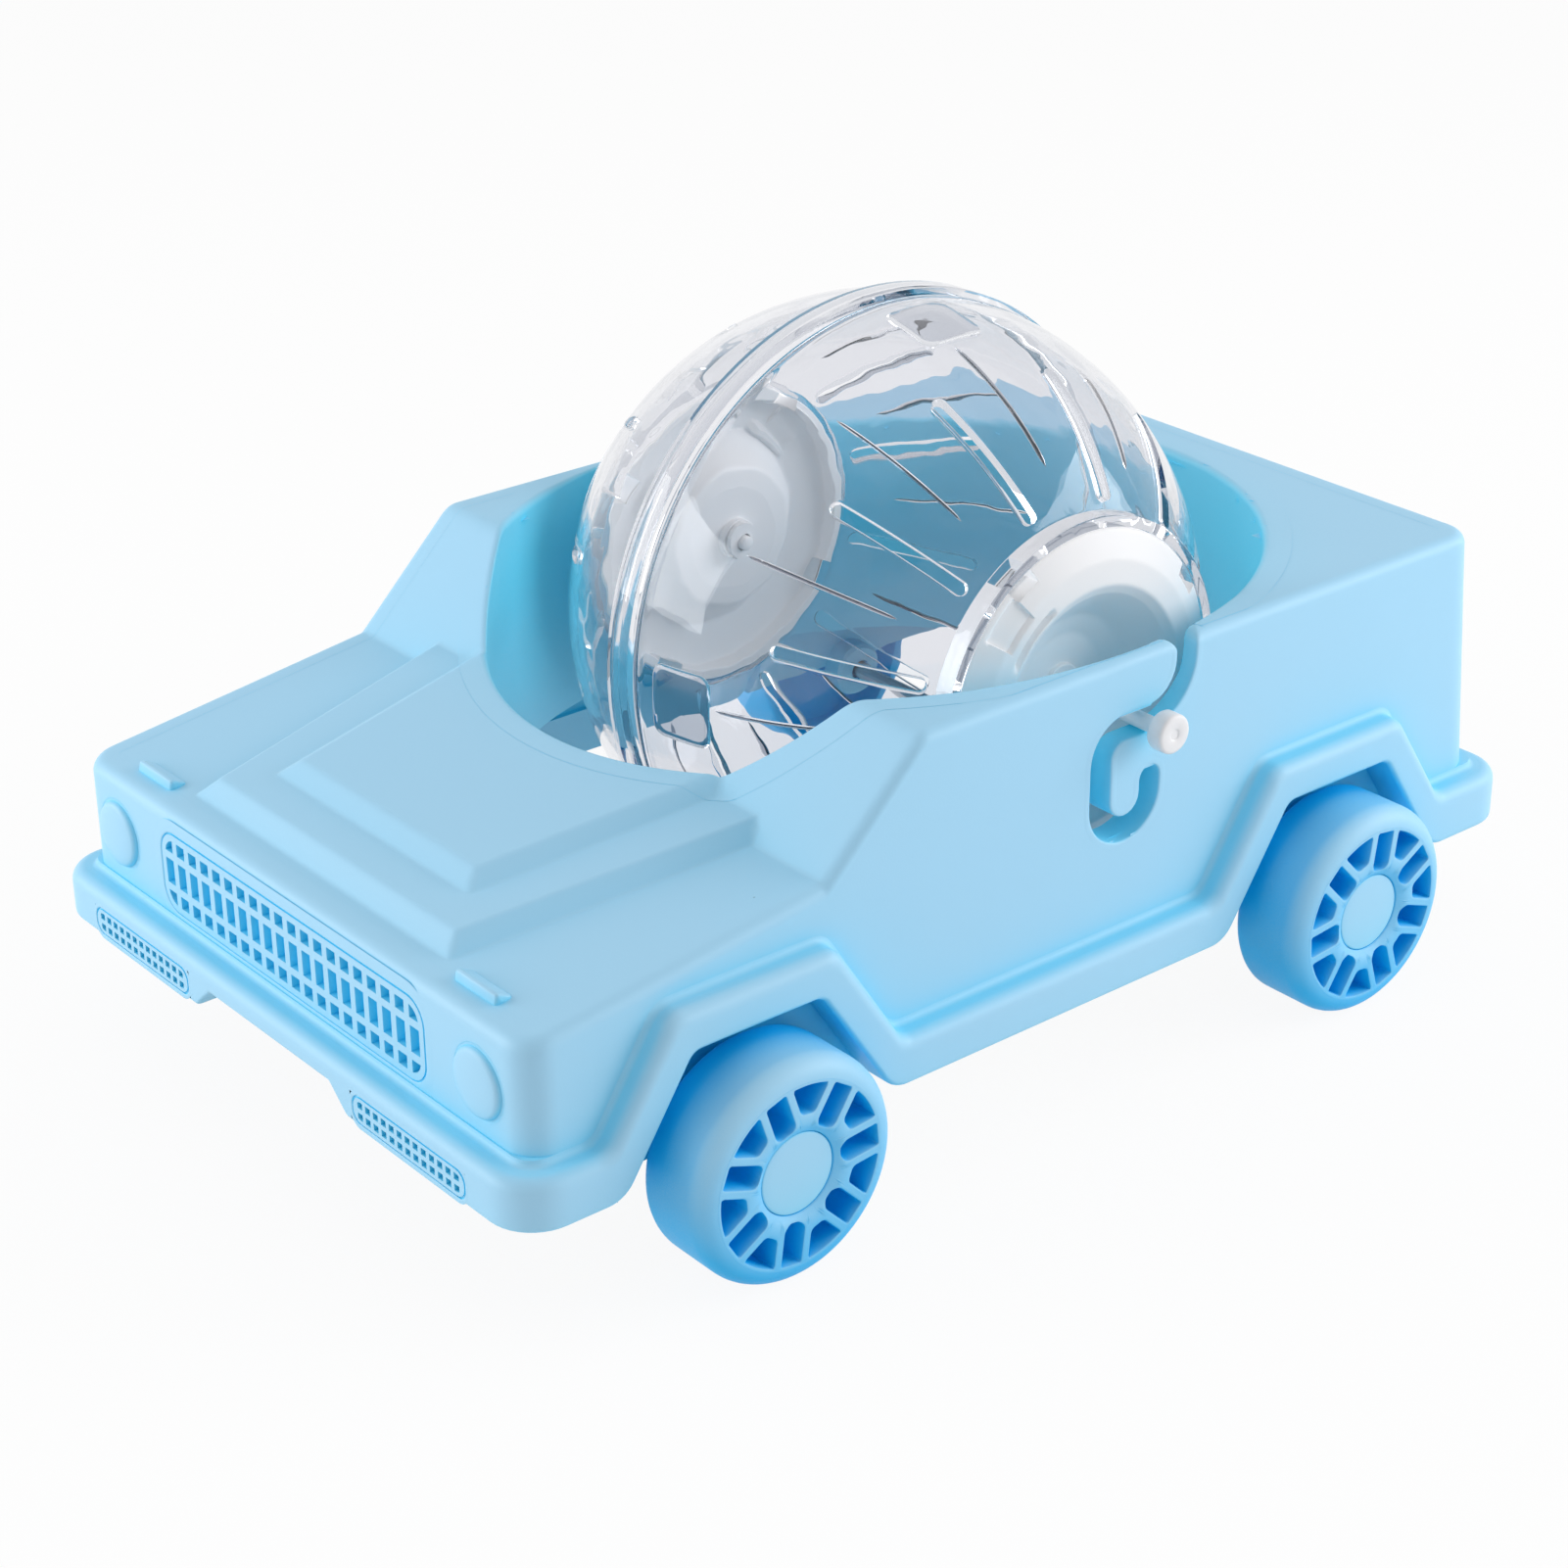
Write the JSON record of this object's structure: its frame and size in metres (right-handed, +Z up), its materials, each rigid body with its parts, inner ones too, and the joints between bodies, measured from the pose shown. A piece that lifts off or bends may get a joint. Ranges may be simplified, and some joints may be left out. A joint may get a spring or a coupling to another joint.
{
  "type": "hamster running ball in a toy car",
  "caption": "Clear running ball with twist-in end caps, hung by its axle pins in J slots in the well of a light blue toy car that rolls on its wheels.",
  "frame": {"origin": "on the ground, under the middle of the bounding box", "axes": "+X to the front of the car, +Y to its left, +Z up"},
  "size_m": [0.239, 0.1702, 0.1304],
  "materials": {
    "light_blue_plastic": "fine moulded satin",
    "clear_plastic": "clear and glossy",
    "white_plastic": "satin",
    "bright_steel": "bright drawn rod"
  },
  "bodies": {
    "car": {"car_body": "light_blue_plastic", "front_grille": "light_blue_plastic", "fog_grille_left": "light_blue_plastic", "fog_grille_right": "light_blue_plastic"},
    "front_wheels": {"front_axle": "bright_steel", "wheel_front_left": "light_blue_plastic", "wheel_front_right": "light_blue_plastic", "hub_cap_front_left": "light_blue_plastic", "hub_cap_front_right": "light_blue_plastic"},
    "rear_wheels": {"rear_axle": "bright_steel", "wheel_rear_left": "light_blue_plastic", "wheel_rear_right": "light_blue_plastic", "hub_cap_rear_left": "light_blue_plastic", "hub_cap_rear_right": "light_blue_plastic"},
    "ball_pins": {"axle_pin_left": "white_plastic", "axle_pin_right": "white_plastic", "pin_retainer_left": "white_plastic", "pin_retainer_right": "white_plastic"},
    "ball": {"ball_half_left": "clear_plastic", "ball_half_right": "clear_plastic"},
    "left_end_cap": {"end_cap_left": "white_plastic"},
    "right_end_cap": {"end_cap_right": "white_plastic"}
  },
  "joints": [
    {"name": "front_axle_roll", "type": "hinge", "parent": "car", "child": "front_wheels", "pos_m": [0.0712, 0, 0.0208], "axis": [0, 1, 0], "continuous": true},
    {"name": "rear_axle_roll", "type": "hinge", "parent": "car", "child": "rear_wheels", "pos_m": [-0.0677, 0, 0.0208], "axis": [0, 1, 0], "continuous": true},
    {"name": "pins_swing_back", "type": "hinge", "parent": "car", "child": "ball_pins", "pos_m": [-0.0205, 0, 0.0794], "axis": [0, 1, 0], "range_deg": [0, 88]},
    {"name": "ball_spin", "type": "hinge", "parent": "ball_pins", "child": "ball", "pos_m": [-0.0205, 0, 0.0692], "axis": [0, 1, 0], "continuous": true},
    {"name": "left_cap_twist", "type": "hinge", "parent": "ball", "child": "left_end_cap", "pos_m": [-0.0205, 0.054, 0.0692], "axis": [0, 1, 0], "range_deg": [0, 25]},
    {"name": "right_cap_twist", "type": "hinge", "parent": "ball", "child": "right_end_cap", "pos_m": [-0.0205, -0.054, 0.0692], "axis": [0, -1, 0], "range_deg": [0, 25]}
  ]
}
